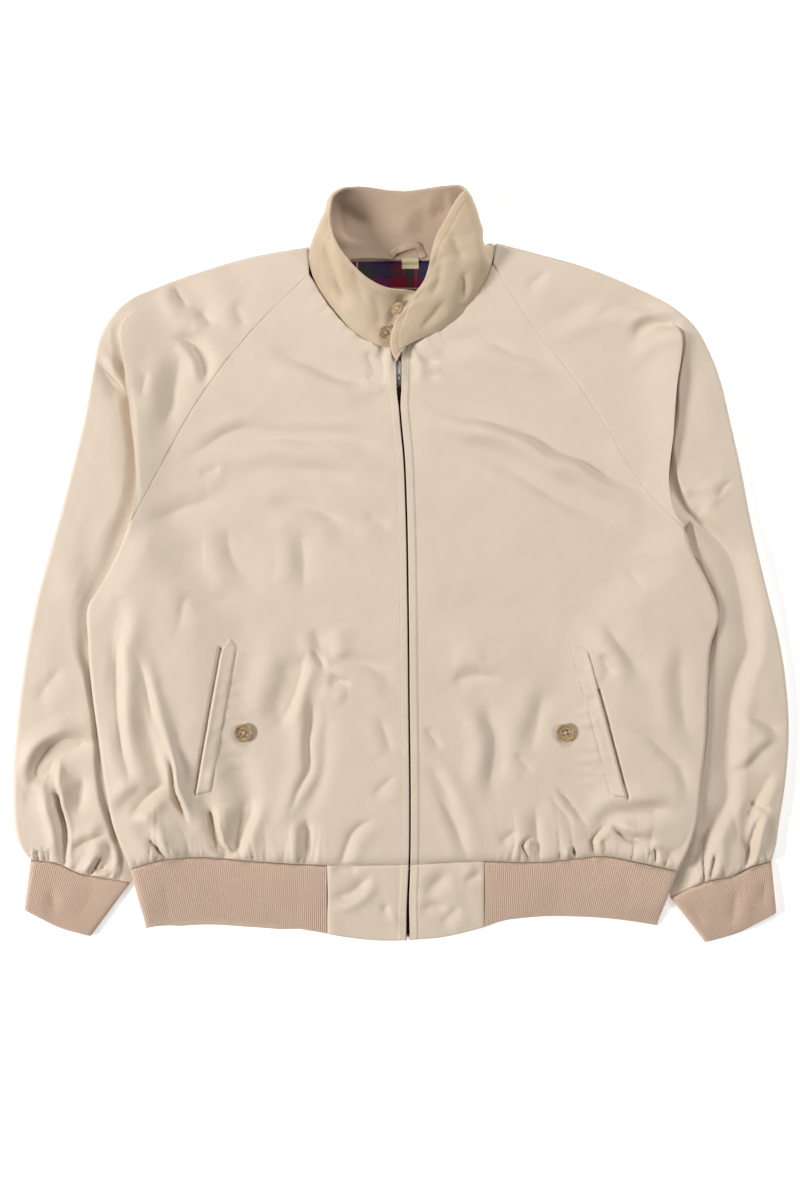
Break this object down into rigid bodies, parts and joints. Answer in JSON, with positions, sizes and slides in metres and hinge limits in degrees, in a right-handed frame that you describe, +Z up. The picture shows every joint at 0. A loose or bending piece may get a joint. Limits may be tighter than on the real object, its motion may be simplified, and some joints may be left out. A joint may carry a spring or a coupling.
{
  "type": "harrington jacket",
  "caption": "Waist-length cotton jacket with raglan sleeves, stand collar, zip front, slanted pockets and rib-knit waistband and cuffs, laid flat, front up.",
  "frame": {"origin": "middle of the jacket's underside, on the surface that it lies on", "axes": "+X across the jacket towards the wearer's left, +Y from hem to collar, +Z up from the surface through the front"},
  "size_m": [0.773, 0.753, 0.0408],
  "materials": {
    "cotton_twill": "fine cotton twill with a soft sheen, natural stone",
    "rib_knit": "ribbed wool-blend knit, matte",
    "tartan_lining": "brushed cotton check of dark red, green and navy",
    "label_satin": "woven satin, blank",
    "button_horn": "polished imitation horn, mottled",
    "zip_tape": "woven tape, dark brown",
    "zip_metal": "polished metal"
  },
  "bodies": {
    "jacket": {"front_right": "cotton_twill", "front_left": "cotton_twill", "back": "cotton_twill", "lining_back": "tartan_lining", "sleeve_front_right": "cotton_twill", "sleeve_front_left": "cotton_twill", "sleeve_back_right": "cotton_twill", "sleeve_back_left": "cotton_twill", "cuff_right": "rib_knit", "cuff_left": "rib_knit", "waistband_rib_right": "rib_knit", "waistband_rib_left": "rib_knit", "waistband_rib_back": "rib_knit", "waistband_tab_right": "cotton_twill", "waistband_tab_left": "cotton_twill", "collar_outer": "cotton_twill", "collar_inner": "cotton_twill", "pocket_welt_right": "cotton_twill", "pocket_welt_left": "cotton_twill", "pocket_button_right": "button_horn", "pocket_button_left": "button_horn", "collar_button_upper": "button_horn", "collar_button_lower": "button_horn", "zip_tape_right": "zip_tape", "zip_tape_left": "zip_tape", "zip_chain": "zip_metal", "zip_slider": "zip_metal", "hanger_loop": "cotton_twill", "size_label": "label_satin"},
    "zip_pull": {"zip_pull": "zip_metal"}
  },
  "joints": [
    {"name": "zip_pull_hinge", "type": "hinge", "parent": "jacket", "child": "zip_pull", "pos_m": [-0.001, 0.1835, 0.0074], "axis": [1, 0, 0], "range_deg": [0, 160]}
  ]
}
